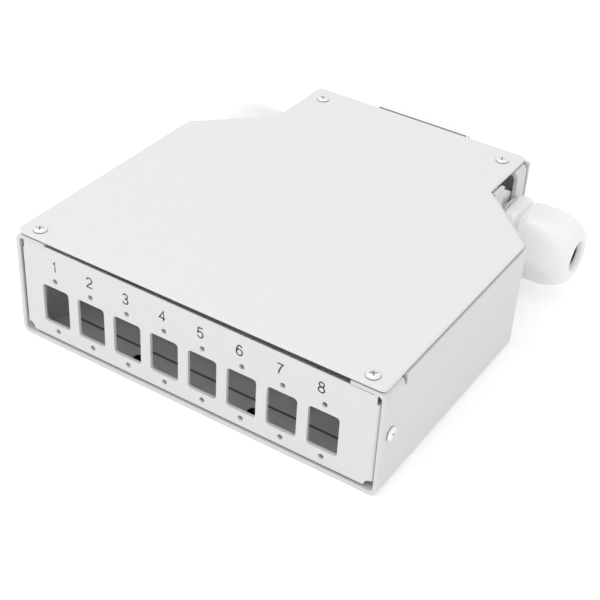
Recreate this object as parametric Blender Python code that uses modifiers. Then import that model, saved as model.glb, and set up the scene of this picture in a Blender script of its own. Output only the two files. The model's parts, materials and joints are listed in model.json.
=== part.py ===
"""Folded sheet steel splice box for optical fibre, made to hang on a 35 mm mounting rail.

The box lies on its underside with the port panel facing -Y.  All sizes below are in
millimetres, and the model is built in metres with +Z up.  The origin is in the middle of
the underside.
"""

import math

import bmesh
import bpy
from mathutils import Matrix, Vector

MM = 0.001
OBJECT_NAME = "din_rail_fibre_box"

# Clearances between pieces that touch on the real box
SEAT_GAP = 0.3
SCREW_GAP = 0.3

# Base tray, folded from one sheet
TRAY_DEPTH = 128.5
TRAY_HEIGHT = 34.7
REAR_WIDTH = 81.0
TRAY_SHEET = 1.5
TRAY_BEND = 2.4
BEND_STEPS = 4
CORNER_RELIEF = 0.8
CORNER_SLIT = 0.35
TAB_WIDTH = 10.5
FRONT_TAB_LENGTH = 9.6
TAB_NOTCH = 1.2
NOTCH_DROP = 0.5

# Flat cover plate
COVER_SHEET = 1.2
COVER_INSET = 0.6
COVER_CORNER = 1.6
COVER_EDGE = 0.25

# Front panel with its eight adaptor cut-outs
PANEL_SHEET = 1.0
PANEL_BEND = 1.6
PANEL_SETBACK = 0.3
PANEL_TOP_GAP = 0.7
PANEL_FLANGE_DEPTH = 11.5
PANEL_FLANGE_CHAMFER = 3.6
PANEL_CORNER = 1.0
EAR_DEPTH = 8.6
EAR_CHAMFER = 1.5
EAR_TOP_DROP = 4.0
PORT_COUNT = 8
PORT_PITCH = 13.0
PORT_ROW_SHIFT = -2.0
PORT_ROW_MARGIN = 9.0
PORT_WIDTH = 9.6
PORT_HEIGHT = 13.2
PORT_CORNER = 1.0
PORT_HOLE_EDGE = 2.4
PORT_HOLE_ABOVE_BEND = 1.5
PORT_HOLE_RADIUS = 1.15

# Machine screws
SCREW_RADIUS = 1.45
SCREW_LENGTH = 5.0
HEAD_RADIUS = 2.7
HEAD_HEIGHT = 1.35
RECESS_LENGTH = 3.0
RECESS_WIDTH = 0.75
RECESS_DEPTH = 0.9
SCREW_SEGMENTS = 14
FRONT_SCREW_SIDE = 6.2
FRONT_SCREW_BACK = 3.6
REAR_SCREW_SIDE = 6.9
REAR_SCREW_FRONT = 7.2
SIDE_SCREW_BACK = 4.0
SIDE_SCREW_UP = 19.4
FLOOR_SCREW_SPACING = 40.0
FLOOR_SCREW_BACK = 5.6
FLOOR_SCREW_RADIUS = 1.45
FLOOR_HEAD_HEIGHT = 1.8

# Cable glands, one through each side of the narrow rear part
GLAND_UP = 16.0
GLAND_SIDE_ROOM = 1.5
GLAND_THREAD_RADIUS = 9.3
GLAND_BORE_RADIUS = 6.0
GLAND_FLATS = 22.0
GLAND_HEX_LENGTH = 4.2
GLAND_HEX_CHAMFER = 0.5
GLAND_INNER_LENGTH = 9.5
GLAND_WASHER_THICKNESS = 1.0
GLAND_WASHER_RADIUS = 11.2
GLAND_SLOT_WIDTH = 7.2
CLAW_THREAD_RADIUS = 8.4
CLAW_THREAD_LENGTH = 6.5
CLAW_LENGTH = 5.5
CLAW_TIP_RADIUS = 7.2
CLAW_COUNT = 8
CLAW_SLOT = 0.9
NUT_GAP = 0.7
NUT_LENGTH = 19.0
NUT_FLATS = 22.0
NUT_CROWN_RADIUS = 12.3
NUT_STRAIGHT = 7.6
NUT_MOUTH_RADIUS = 4.4
NUT_END_RADIUS = 6.4
NUT_WALL = 1.7
SEAL_LENGTH = 11.0
SEAL_WALL = 1.9
LOCKNUT_FLATS = 22.0
LOCKNUT_LENGTH = 5.0
ROUND_SEGMENTS = 36

# Mounting clip for a 35 mm rail, on the back wall
CLIP_WIDTH = 33.0
CLIP_SHEET = 1.0
CLIP_BEND = 1.3
CLIP_BOTTOM = 0.35
CLIP_STANDOFF = 1.8
RAIL_WIDTH = 35.0
RAIL_THROAT = 1.3
HOOK_LIP = 3.2
FOOT_START = 5.0
FOOT_TOP_GAP = 1.6
WINDOW_WIDTH = 6.6
WINDOW_BOTTOM = 8.0
WINDOW_TOP_GAP = 5.1
LATCH_WIDTH = 18.0
LATCH_LOW = 9.0
LATCH_PRELOAD = 2.15
LATCH_HEAD = 3.9
LATCH_CLEARANCE = 0.7
LATCH_LIP = 3.2
CLIP_TAB_WIDTH = 5.4
CLIP_TAB_LENGTH = 5.0
SPRING_RADIUS = 1.75
SPRING_WIRE = 0.25
SPRING_TURNS = 6
CLIP_SCREW_SPACING = 24.0
CLIP_SCREW_UP = 17.0
CLIP_SCREW_LENGTH = 6.6
NUT_AF = 5.5
NUT_THICKNESS = 2.0

# Moulded holder for the splice protectors, on the floor of the tray
HOLDER_LENGTH = 36.0
HOLDER_CHANNELS = 8
HOLDER_PITCH = 4.4
HOLDER_CHANNEL = 3.0
HOLDER_BASE = 1.6
HOLDER_HEIGHT = 6.4
HOLDER_SHIFT = 1.75
HOLDER_GAP = 12.0

# Places worked out from the sizes above
FRONT = -TRAY_DEPTH / 2
BACK = TRAY_DEPTH / 2
HALF_WIDTH = PORT_COUNT * PORT_PITCH / 2 + PORT_ROW_MARGIN
HALF_REAR = REAR_WIDTH / 2
GLAND_Y = BACK - (LOCKNUT_FLATS / 2 + TRAY_SHEET + GLAND_SIDE_ROOM)
REAR_START = GLAND_Y - (BACK - GLAND_Y)
SIDE_END = REAR_START - (HALF_WIDTH - HALF_REAR)
COVER_BOTTOM = TRAY_HEIGHT + SEAT_GAP
COVER_TOP = COVER_BOTTOM + COVER_SHEET
PANEL_Y = FRONT + PANEL_SETBACK
PANEL_BOTTOM = TRAY_SHEET + SEAT_GAP
PANEL_HALF = HALF_WIDTH - TRAY_SHEET - SEAT_GAP
PANEL_TOP = COVER_BOTTOM - PANEL_TOP_GAP
FLANGE_TOP = PANEL_BOTTOM + PANEL_SHEET
PORT_HOLE_SPACING = PORT_HEIGHT + 2 * PORT_HOLE_EDGE
PORT_UP = PANEL_BOTTOM + PANEL_BEND + PORT_HOLE_ABOVE_BEND + PORT_HOLE_SPACING / 2
HEX_START = SEAT_GAP + GLAND_WASHER_THICKNESS + SEAT_GAP
HEX_END = HEX_START + GLAND_HEX_LENGTH
NUT_START = HEX_END + NUT_GAP
NUT_END = NUT_START + NUT_LENGTH
CLIP_FACE = BACK + CLIP_STANDOFF
LATCH_FACE = BACK + SEAT_GAP
LATCH_TOP = CLIP_BOTTOM + 2 * CLIP_SHEET + RAIL_WIDTH - LATCH_PRELOAD
LATCH_SHOULDER = LATCH_TOP - LATCH_HEAD
PLATE_TOP = LATCH_SHOULDER - LATCH_CLEARANCE
FOOT_TOP = PLATE_TOP - FOOT_TOP_GAP
WINDOW_TOP = PLATE_TOP - WINDOW_TOP_GAP


def rgb(red, green, blue):
    """A colour in Blender's linear values from 0 to 255 display values."""
    def linear(value):
        share = value / 255
        return share / 12.92 if share <= 0.04045 else ((share + 0.055) / 1.055) ** 2.4
    return (linear(red), linear(green), linear(blue), 1.0)


PAINT = (rgb(232, 232, 228), 0.0, 0.45)
ZINC = (rgb(196, 202, 208), 1.0, 0.32)
NICKEL = (rgb(205, 203, 198), 1.0, 0.25)
BLACK_STEEL = (rgb(40, 40, 42), 1.0, 0.4)
SPRING_STEEL = (rgb(150, 152, 156), 1.0, 0.3)
NYLON = (rgb(240, 240, 246), 0.0, 0.4)
RUBBER = (rgb(38, 38, 40), 0.0, 0.7)
HOLDER_PLASTIC = (rgb(222, 222, 218), 0.0, 0.5)


# Scene set-up

def clear_scene():
    for item in list(bpy.data.objects):
        bpy.data.objects.remove(item, do_unlink=True)


def new_collection(name):
    collection = bpy.data.collections.new(name)
    bpy.context.scene.collection.children.link(collection)
    return collection


def material(name, finish):
    colour, metallic, roughness = finish
    made = bpy.data.materials.new(name)
    made.use_nodes = True
    shader = made.node_tree.nodes["Principled BSDF"]
    shader.inputs["Base Color"].default_value = colour
    shader.inputs["Metallic"].default_value = metallic
    shader.inputs["Roughness"].default_value = roughness
    return made


def add_part(name, mesh, finish, parent=None):
    """A named sub-part with its own material, in the parts collection."""
    made = bpy.data.objects.new(name, mesh)
    made.data.materials.append(material(name + "_finish", finish))
    parts.objects.link(made)
    made.parent = parent
    return made


def add_cutter(name, mesh, parent=None):
    made = bpy.data.objects.new(name, mesh)
    made.display_type = "WIRE"
    made.hide_render = True
    cutters.objects.link(made)
    made.parent = parent
    return made


def add_empty(name, location, rotation=(0.0, 0.0, 0.0)):
    made = bpy.data.objects.new(name, None)
    made.location = Vector(location) * MM
    made.rotation_euler = rotation
    parts.objects.link(made)
    return made


# Modelling helpers

def finish_mesh(name, bm):
    """Turns a bmesh into a mesh, joining points that lie on each other."""
    bmesh.ops.remove_doubles(bm, verts=bm.verts, dist=0.002 * MM)
    mesh = bpy.data.meshes.new(name)
    bm.to_mesh(mesh)
    bm.free()
    return mesh


def boolean(target, cutter, operation="DIFFERENCE"):
    step = target.modifiers.new(cutter.name, "BOOLEAN")
    step.operation = operation
    step.solver = "EXACT"
    step.object = cutter


def bevel(target, width, angle=35.0, segments=1):
    step = target.modifiers.new("edge", "BEVEL")
    step.width = width * MM
    step.segments = segments
    step.limit_method = "ANGLE"
    step.angle_limit = math.radians(angle)
    step.harden_normals = False


def solidify(target, thickness):
    """Grows a sheet from its outer face inwards."""
    step = target.modifiers.new("sheet", "SOLIDIFY")
    step.thickness = thickness * MM
    step.offset = -1.0
    step.use_even_offset = True


def shade_smooth(mesh, angle=32.0):
    mesh.shade_smooth()
    mesh.set_sharp_from_angle(angle=math.radians(angle))


def cylinder_mesh(name, radius, length, segments=16, axis="Z"):
    """A closed cylinder centred on its own origin."""
    bm = bmesh.new()
    bmesh.ops.create_cone(bm, cap_ends=True, segments=segments, radius1=radius * MM,
                          radius2=radius * MM, depth=length * MM)
    turns = {"X": Matrix.Rotation(math.pi / 2, 4, "Y"), "Y": Matrix.Rotation(math.pi / 2, 4, "X")}
    if axis in turns:
        bmesh.ops.transform(bm, matrix=turns[axis], verts=bm.verts)
    mesh = bpy.data.meshes.new(name)
    bm.to_mesh(mesh)
    bm.free()
    return mesh


def box_mesh(name, size):
    bm = bmesh.new()
    bmesh.ops.create_cube(bm, size=1.0)
    bmesh.ops.scale(bm, vec=Vector(size) * MM, verts=bm.verts)
    mesh = bpy.data.meshes.new(name)
    bm.to_mesh(mesh)
    bm.free()
    return mesh


def drill(target, name, centre, radius, length, axis="Z", segments=16):
    """Cuts a round hole through a part."""
    cutter = add_cutter(name, cylinder_mesh(name, radius, length, segments, axis))
    cutter.location = Vector(centre) * MM
    boolean(target, cutter)
    return cutter


def bend_rows(out, flange, radius, length, steps=BEND_STEPS, base=Vector((0, 0, 0))):
    """Offsets of a sheet that leaves an edge along out, turns through 90 degrees and runs on along flange."""
    rows = []
    for step in range(steps + 1):
        angle = math.pi / 2 * step / steps
        rows.append(base + out * radius * math.sin(angle) + flange * radius * (1 - math.cos(angle)))
    rows.append(base + out * radius + flange * (radius + length))
    return rows


def add_strip(bm, start, end, rows, chamfer=0.0):
    """A band of sheet between two points, with one row for each offset and a chamfered far edge."""
    along = (end - start).normalized()
    previous = None
    for number, offset in enumerate(rows):
        last = chamfer > 0 and number == len(rows) - 1
        if last:
            back = (rows[-1] - rows[-2]).normalized() * chamfer
            far = [end + offset - back, end + offset - along * chamfer,
                   start + offset + along * chamfer, start + offset - back]
            ring = [bm.verts.new(point * MM) for point in far]
            bm.faces.new((previous[0], previous[1], *ring))
            break
        pair = (bm.verts.new((start + offset) * MM), bm.verts.new((end + offset) * MM))
        if previous:
            bm.faces.new((previous[0], previous[1], pair[1], pair[0]))
        previous = pair


def add_sheet_face(bm, points):
    bm.faces.new([bm.verts.new(Vector(point) * MM) for point in points])


def arc_points(centre, radius, start, end, steps):
    """Points on a circle in the plane, from one angle to another, in degrees."""
    made = []
    for step in range(steps + 1):
        angle = math.radians(start + (end - start) * step / steps)
        made.append((centre[0] + radius * math.cos(angle), centre[1] + radius * math.sin(angle)))
    return made


def inset_outline(points, insets):
    """Moves each side of an anticlockwise outline inwards by its own distance."""
    count = len(points)
    lines = []
    for number in range(count):
        first, second = Vector(points[number]), Vector(points[(number + 1) % count])
        along = (second - first).normalized()
        inward = Vector((-along.y, along.x))
        lines.append((first + inward * insets[number], along))
    made = []
    for number in range(count):
        here, along = lines[number - 1]
        there, across = lines[number]
        cross = along.x * across.y - along.y * across.x
        gap = there - here
        made.append(here + along * ((gap.x * across.y - gap.y * across.x) / cross))
    return made


def rounded_outline(points, radius, steps=4):
    """Rounds every corner of an outline with arcs of one radius."""
    made = []
    count = len(points)
    for number in range(count):
        corner = Vector(points[number])
        before = (Vector(points[number - 1]) - corner).normalized()
        after = (Vector(points[(number + 1) % count]) - corner).normalized()
        half = before.angle(after) / 2
        run = radius / math.tan(half)
        centre = corner + (before + after).normalized() * (radius / math.sin(half))
        first = corner + before * run - centre
        last = corner + after * run - centre
        turn = first.angle_signed(last)
        for step in range(steps + 1):
            angle = -turn * step / steps
            made.append(centre + Matrix.Rotation(angle, 2) @ first)
    return made


def plate_mesh(name, outline, thickness):
    """A flat plate made from a filled outline, with its lower face at zero."""
    curve = bpy.data.curves.new(name, "CURVE")
    curve.dimensions = "2D"
    curve.fill_mode = "BOTH"
    curve.extrude = thickness * MM / 2
    spline = curve.splines.new("POLY")
    spline.points.add(len(outline) - 1)
    for point, place in zip(spline.points, outline):
        point.co = (place[0] * MM, place[1] * MM, 0.0, 1.0)
    spline.use_cyclic_u = True
    shape = bpy.data.objects.new(name, curve)
    parts.objects.link(shape)
    bpy.context.view_layer.update()
    evaluated = shape.evaluated_get(bpy.context.evaluated_depsgraph_get())
    mesh = bpy.data.meshes.new_from_object(evaluated)
    bm = bmesh.new()
    bm.from_mesh(mesh)
    bmesh.ops.remove_doubles(bm, verts=bm.verts, dist=0.002 * MM)
    bmesh.ops.dissolve_limit(bm, angle_limit=math.radians(1.0), verts=bm.verts, edges=bm.edges)
    bmesh.ops.translate(bm, vec=(0, 0, thickness * MM / 2), verts=bm.verts)
    bm.to_mesh(mesh)
    bm.free()
    bpy.data.objects.remove(shape, do_unlink=True)
    mesh.name = name
    return mesh


def turned_mesh(name, profile, closed=True):
    """The half section of a turned piece, as edges in the XZ plane."""
    bm = bmesh.new()
    points = [bm.verts.new((radius * MM, 0.0, height * MM)) for radius, height in profile]
    for first, second in zip(points, points[1:]):
        bm.edges.new((first, second))
    if closed:
        bm.edges.new((points[-1], points[0]))
    mesh = bpy.data.meshes.new(name)
    bm.to_mesh(mesh)
    bm.free()
    return mesh


def turn(target, segments=ROUND_SEGMENTS):
    step = target.modifiers.new("turn", "SCREW")
    step.axis = "Z"
    step.angle = math.tau
    step.steps = segments
    step.render_steps = segments
    step.use_merge_vertices = True
    step.merge_threshold = 0.00001
    step.use_smooth_shade = False


def hex_mesh(name, flats, low, high, turn_by=0.0):
    """A hexagonal bar along Z, with two corners on the Y axis before the turn."""
    bm = bmesh.new()
    radius = flats / math.sqrt(3) * MM
    bmesh.ops.create_cone(bm, cap_ends=True, segments=6, radius1=radius, radius2=radius,
                          depth=(high - low) * MM)
    bmesh.ops.rotate(bm, matrix=Matrix.Rotation(turn_by, 3, "Z"), verts=bm.verts)
    bmesh.ops.translate(bm, vec=(0, 0, (high + low) / 2 * MM), verts=bm.verts)
    mesh = bpy.data.meshes.new(name)
    bm.to_mesh(mesh)
    bm.free()
    return mesh


# The tray

def tray_outline():
    """The outer plan of the tray, anticlockwise from the front left corner."""
    return [(-HALF_WIDTH, FRONT), (HALF_WIDTH, FRONT), (HALF_WIDTH, SIDE_END),
            (HALF_REAR, REAR_START), (HALF_REAR, BACK), (-HALF_REAR, BACK),
            (-HALF_REAR, REAR_START), (-HALF_WIDTH, SIDE_END)]


def wall_rows(outward, top, full=True):
    """Rows of a tray wall that rises from the floor's bend line, or only its part above the corner relief."""
    up = Vector((0, 0, 1))
    relief = TRAY_BEND + CORNER_RELIEF
    face = outward * TRAY_BEND
    shoulder = TRAY_HEIGHT - TRAY_BEND
    rows = bend_rows(outward, up, TRAY_BEND, CORNER_RELIEF) if full else [face + up * relief]
    rows.append(face + up * (shoulder - NOTCH_DROP))
    if top == "plain":
        rows.append(face + up * TRAY_HEIGHT)
    if top == "tab":
        rows += bend_rows(up, -outward, TRAY_BEND, TAB_WIDTH - TRAY_BEND, base=face + up * shoulder)
    return rows


def add_wall(bm, corner, along, outward, pieces):
    """A wall along one side of the floor, from pieces given as start, end and kind of top edge."""
    for start, end, top, full in pieces:
        add_strip(bm, corner + along * start, corner + along * end, wall_rows(outward, top, full))


def wall_line(outline, number):
    """Start corner on the bend line, direction, outward side and length of one side of the tray."""
    first = Vector((*outline[number], 0))
    second = Vector((*outline[(number + 1) % len(outline)], 0))
    along = (second - first).normalized()
    outward = Vector((along.y, -along.x, 0))
    return first - outward * TRAY_BEND, along, outward, (second - first).length


def make_tray():
    outline = tray_outline()
    bm = bmesh.new()
    corner_step = TRAY_BEND * math.tan(math.pi / 8)
    side = [(0.0, FRONT_TAB_LENGTH, "tab", True),
            (FRONT_TAB_LENGTH, FRONT_TAB_LENGTH + TAB_NOTCH, "notch", True),
            (FRONT_TAB_LENGTH + TAB_NOTCH, SIDE_END - FRONT - corner_step, "plain", True)]
    diagonal_length = (HALF_WIDTH - HALF_REAR) * math.sqrt(2)
    diagonal = [(corner_step, diagonal_length - CORNER_SLIT, "plain", True)]
    rear_length = BACK - REAR_START
    slot_middle = GLAND_Y - REAR_START
    slot_quarter = GLAND_SLOT_WIDTH / 4
    rear = [(CORNER_SLIT, slot_middle - slot_quarter, "plain", True),
            (slot_middle - slot_quarter, slot_middle + slot_quarter, "notch", True),
            (slot_middle + slot_quarter, rear_length - TRAY_BEND, "tab", True)]
    back = [(0.0, TRAY_BEND, "plain", False),
            (TRAY_BEND, REAR_WIDTH - TRAY_BEND, "plain", True),
            (REAR_WIDTH - TRAY_BEND, REAR_WIDTH, "plain", False)]
    walls = {1: side, 2: diagonal, 3: rear, 4: back}
    floor = [Vector((*outline[0], 0)) + Vector((TRAY_BEND, 0, 0))]
    for number in range(1, 8):
        corner, along, outward, length = wall_line(outline, number)
        pieces = walls.get(number)
        if pieces is None:
            pieces = [(length - end, length - start, top, full)
                      for start, end, top, full in reversed(walls[8 - number])]
        add_wall(bm, corner, along, outward, pieces)
        ends = [place for start, end, top, full in pieces if full for place in (start, end)]
        for place in sorted(set(ends)):
            floor.append(corner + along * place)
        if number in (2, 5):
            floor.append(reflex_corner(outline, number + 1))
    add_sheet_face(bm, clean_ring(floor)[::-1])
    tray = add_part("base_tray", finish_mesh("base_tray", bm), PAINT)
    solidify(tray, TRAY_SHEET)
    for side_sign, side_name in ((-1, "left"), (1, "right")):
        cut_tray_side(tray, side_sign, side_name)
    for number, x in enumerate(floor_screw_places()):
        drill(tray, f"tray_floor_hole_{number}", (x, PANEL_Y + FLOOR_SCREW_BACK, 0),
              FLOOR_SCREW_RADIUS + SCREW_GAP, 4 * TRAY_SHEET)
    for number, x in enumerate(clip_screw_places()):
        drill(tray, f"tray_back_hole_{number}", (x, BACK, CLIP_SCREW_UP),
              SCREW_RADIUS + SCREW_GAP, 4 * TRAY_SHEET, "Y")
    return tray


def reflex_corner(outline, number):
    """Where the bend lines of two walls meet at an inward corner."""
    inset = inset_outline(outline, [0.0] + [TRAY_BEND] * 7)
    return Vector((*inset[number], 0))


def clean_ring(points):
    """Leaves out each point that repeats the one before it."""
    kept = []
    for point in points:
        if not kept or (point - kept[-1]).length > 0.01:
            kept.append(point)
    if (kept[0] - kept[-1]).length < 0.01:
        kept.pop()
    return kept


def cut_tray_side(tray, side_sign, side_name):
    """Screw holes in the tabs and the side wall, and the keyhole for the gland."""
    front_x, front_y = cover_screw_place(side_sign, "front")
    rear_x, rear_y = cover_screw_place(side_sign, "rear")
    hole = SCREW_RADIUS + SCREW_GAP
    drill(tray, f"front_tab_hole_{side_name}", (front_x, front_y, TRAY_HEIGHT), hole, 4 * TRAY_SHEET)
    drill(tray, f"rear_tab_hole_{side_name}", (rear_x, rear_y, TRAY_HEIGHT), hole, 4 * TRAY_SHEET)
    drill(tray, f"side_hole_{side_name}", (side_sign * HALF_WIDTH, PANEL_Y + SIDE_SCREW_BACK, SIDE_SCREW_UP),
          hole, 4 * TRAY_SHEET, "X")
    step_depth = PANEL_Y + PANEL_SHEET + SEAT_GAP - FRONT + TRAY_SHEET
    step = add_cutter(f"tab_step_{side_name}", box_mesh("tab_step", (TAB_WIDTH, step_depth, 3 * TRAY_SHEET)))
    step.location = Vector((side_sign * (PANEL_HALF - PANEL_BEND + SEAT_GAP - TAB_WIDTH / 2),
                            FRONT - TRAY_SHEET + step_depth / 2, TRAY_HEIGHT)) * MM
    boolean(tray, step)
    wall_x = side_sign * (HALF_REAR - TRAY_SHEET / 2)
    drill(tray, f"gland_hole_{side_name}", (wall_x, GLAND_Y, GLAND_UP),
          GLAND_THREAD_RADIUS + SEAT_GAP, 3 * TRAY_SHEET, "X", ROUND_SEGMENTS)
    slot_height = TRAY_HEIGHT - GLAND_UP + TRAY_SHEET
    slot_reach = TAB_WIDTH + 2 * TRAY_SHEET
    slot = add_cutter(f"gland_slot_{side_name}",
                      box_mesh("gland_slot", (slot_reach, GLAND_SLOT_WIDTH, slot_height)))
    slot.location = Vector((side_sign * (HALF_REAR + TRAY_SHEET - slot_reach / 2), GLAND_Y,
                            GLAND_UP + slot_height / 2)) * MM
    boolean(tray, slot)


# The cover

def cover_screw_place(side_sign, end):
    if end == "front":
        return side_sign * (HALF_WIDTH - FRONT_SCREW_SIDE), FRONT + FRONT_SCREW_BACK
    return side_sign * (HALF_REAR - REAR_SCREW_SIDE), BACK - REAR_SCREW_FRONT


def make_cover():
    insets = [0.0] + [COVER_INSET] * 7
    outline = rounded_outline(inset_outline(tray_outline(), insets), COVER_CORNER)
    cover = add_part("top_cover", plate_mesh("top_cover", outline, COVER_SHEET), PAINT)
    cover.location.z = COVER_BOTTOM * MM
    bevel(cover, COVER_EDGE)
    for side_sign, side_name in ((-1, "left"), (1, "right")):
        for end in ("front", "rear"):
            x, y = cover_screw_place(side_sign, end)
            drill(cover, f"cover_hole_{end}_{side_name}", (x, y, COVER_BOTTOM),
                  SCREW_RADIUS + SCREW_GAP, 4 * COVER_SHEET)
    return cover


# The front panel

def port_centre(number):
    return PORT_ROW_SHIFT + (number - (PORT_COUNT - 1) / 2) * PORT_PITCH


def floor_screw_places():
    return [PORT_ROW_SHIFT - FLOOR_SCREW_SPACING / 2, PORT_ROW_SHIFT + FLOOR_SCREW_SPACING / 2]


def port_cutter(name, x):
    """A rounded rectangle that cuts one adaptor opening, and its two fixing holes."""
    half_w, half_h = PORT_WIDTH / 2, PORT_HEIGHT / 2
    outline = rounded_outline([(-half_w, -half_h), (half_w, -half_h), (half_w, half_h), (-half_w, half_h)],
                              PORT_CORNER, 2)
    depth = 4 * PANEL_SHEET
    cutter = add_cutter(name, plate_mesh(name, outline, depth))
    cutter.rotation_euler = (math.pi / 2, 0, 0)
    cutter.location = Vector((x, PANEL_Y + depth / 2, PORT_UP)) * MM
    return cutter


def panel_face_outline(half, low, top, ear_low, ear_top):
    """The flat front face inside its bend lines, anticlockwise seen from the front."""
    corner = PANEL_CORNER
    right = [(half - corner, low), *arc_points((half - corner, ear_low), corner, -90, 0, 3),
             (half, ear_top), *arc_points((half - corner, top - corner), corner, 0, 90, 3)]
    left = [(-x, z) for x, z in reversed(right)]
    return right + left


def make_panel():
    half = PANEL_HALF - PANEL_BEND
    low = PANEL_BOTTOM + PANEL_BEND
    ear_low = low + PANEL_CORNER
    ear_top = PANEL_TOP - EAR_TOP_DROP
    bm = bmesh.new()
    face = panel_face_outline(half, low, PANEL_TOP, ear_low, ear_top)
    add_sheet_face(bm, clean_ring([Vector((x, PANEL_Y, z)) for x, z in face]))
    back, down = Vector((0, 1, 0)), Vector((0, 0, -1))
    flange_half = half - PANEL_CORNER
    add_strip(bm, Vector((flange_half, PANEL_Y, low)), Vector((-flange_half, PANEL_Y, low)),
              bend_rows(down, back, PANEL_BEND, PANEL_FLANGE_DEPTH - PANEL_BEND), PANEL_FLANGE_CHAMFER)
    ear_run = EAR_DEPTH - PANEL_BEND
    add_strip(bm, Vector((half, PANEL_Y, ear_top)), Vector((half, PANEL_Y, ear_low)),
              bend_rows(Vector((1, 0, 0)), back, PANEL_BEND, ear_run), EAR_CHAMFER)
    add_strip(bm, Vector((-half, PANEL_Y, ear_low)), Vector((-half, PANEL_Y, ear_top)),
              bend_rows(Vector((-1, 0, 0)), back, PANEL_BEND, ear_run), EAR_CHAMFER)
    panel = add_part("front_panel", finish_mesh("front_panel", bm), PAINT)
    solidify(panel, PANEL_SHEET)
    for number in range(PORT_COUNT):
        x = port_centre(number)
        boolean(panel, port_cutter(f"port_{number + 1}", x))
        for end, place in (("low", -1), ("high", 1)):
            height = PORT_UP + place * PORT_HOLE_SPACING / 2
            drill(panel, f"port_hole_{end}_{number + 1}", (x, PANEL_Y, height),
                  PORT_HOLE_RADIUS, 4 * PANEL_SHEET, "Y", 12)
    for number, x in enumerate(floor_screw_places()):
        drill(panel, f"flange_hole_{number}", (x, PANEL_Y + FLOOR_SCREW_BACK, PANEL_BOTTOM),
              FLOOR_SCREW_RADIUS + SCREW_GAP, 4 * PANEL_SHEET)
    for side_sign, side_name in ((-1, "left"), (1, "right")):
        drill(panel, f"ear_hole_{side_name}",
              (side_sign * PANEL_HALF, PANEL_Y + SIDE_SCREW_BACK, SIDE_SCREW_UP),
              SCREW_RADIUS + SCREW_GAP, 4 * PANEL_SHEET, "X")
    return panel


# Screws and nuts

def make_screw(name, place, direction, length, finish=NICKEL, head_height=HEAD_HEIGHT, radius=SCREW_RADIUS):
    """A pan head screw whose head sits at place and points along direction."""
    rim = head_height * 0.35
    profile = [(0.0, head_height)]
    for radius_share, angle in ((0.5, 60), (0.85, 30), (1.0, 0)):
        profile.append((HEAD_RADIUS * radius_share, rim + (head_height - rim) * math.sin(math.radians(angle))))
    profile += [(HEAD_RADIUS, 0.0), (radius, 0.0), (radius, 0.4 - length), (radius - 0.4, -length),
                (0.0, -length)]
    screw = add_part(name, turned_mesh(name, profile, closed=False), finish)
    turn(screw, SCREW_SEGMENTS)
    turn_to = Vector((0, 0, 1)).rotation_difference(Vector(direction))
    screw.rotation_mode = "QUATERNION"
    screw.rotation_quaternion = turn_to
    screw.location = Vector(place) * MM
    for number in range(2):
        arm = add_cutter(f"{name}_recess_{number}",
                         box_mesh("recess", (RECESS_LENGTH, RECESS_WIDTH, 2 * RECESS_DEPTH)), screw)
        arm.location.z = head_height * MM
        arm.rotation_euler.z = math.pi / 2 * number + math.radians(25)
        boolean(screw, arm)
    return screw


def make_screws():
    for side_sign, side_name in ((-1, "left"), (1, "right")):
        for end in ("front", "rear"):
            x, y = cover_screw_place(side_sign, end)
            make_screw(f"cover_screw_{end}_{side_name}", (x, y, COVER_TOP + SEAT_GAP), (0, 0, 1), SCREW_LENGTH)
        make_screw(f"panel_side_screw_{side_name}",
                   (side_sign * (HALF_WIDTH + SEAT_GAP), PANEL_Y + SIDE_SCREW_BACK, SIDE_SCREW_UP),
                   (side_sign, 0, 0), SCREW_LENGTH)
    head_seat = FLANGE_TOP + SEAT_GAP
    for side_name, x in zip(("left", "right"), floor_screw_places()):
        make_screw(f"panel_floor_screw_{side_name}", (x, PANEL_Y + FLOOR_SCREW_BACK, head_seat),
                   (0, 0, 1), head_seat - SEAT_GAP, BLACK_STEEL, FLOOR_HEAD_HEIGHT, FLOOR_SCREW_RADIUS)


# Cable glands

def make_gland_body(side_name, frame):
    """Hexagonal body with its panel thread inwards and its clamping claws outwards."""
    corner = GLAND_FLATS / math.sqrt(3)
    claw_base = HEX_END + CLAW_THREAD_LENGTH
    claw_tip = claw_base + CLAW_LENGTH
    profile = [(CLAW_TIP_RADIUS, claw_tip), (CLAW_THREAD_RADIUS, claw_base), (CLAW_THREAD_RADIUS, HEX_END),
               (corner - GLAND_HEX_CHAMFER, HEX_END), (corner, HEX_END - GLAND_HEX_CHAMFER),
               (corner, HEX_START + GLAND_HEX_CHAMFER), (corner - GLAND_HEX_CHAMFER, HEX_START),
               (GLAND_THREAD_RADIUS, HEX_START), (GLAND_THREAD_RADIUS, 0.5 - GLAND_INNER_LENGTH),
               (GLAND_THREAD_RADIUS - 0.5, -GLAND_INNER_LENGTH), (GLAND_BORE_RADIUS, -GLAND_INNER_LENGTH),
               (GLAND_BORE_RADIUS, claw_tip)]
    name = f"gland_body_{side_name}"
    body = add_part(name, turned_mesh(name, profile), NYLON, frame)
    turn(body)
    bar = add_cutter(f"{name}_hex", hex_mesh("hex", GLAND_FLATS, -GLAND_INNER_LENGTH - 1, claw_tip + 1), frame)
    boolean(body, bar, "INTERSECT")
    slot_length = CLAW_LENGTH + 1
    for number in range(CLAW_COUNT // 2):
        slot = add_cutter(f"{name}_claw_{number}",
                          box_mesh("claw", (2.5 * CLAW_THREAD_RADIUS, CLAW_SLOT, slot_length)), frame)
        slot.location.z = (claw_tip - slot_length / 2 + 1) * MM
        slot.rotation_euler.z = math.tau / CLAW_COUNT * (number + 0.5)
        boolean(body, slot)
    return body


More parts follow.
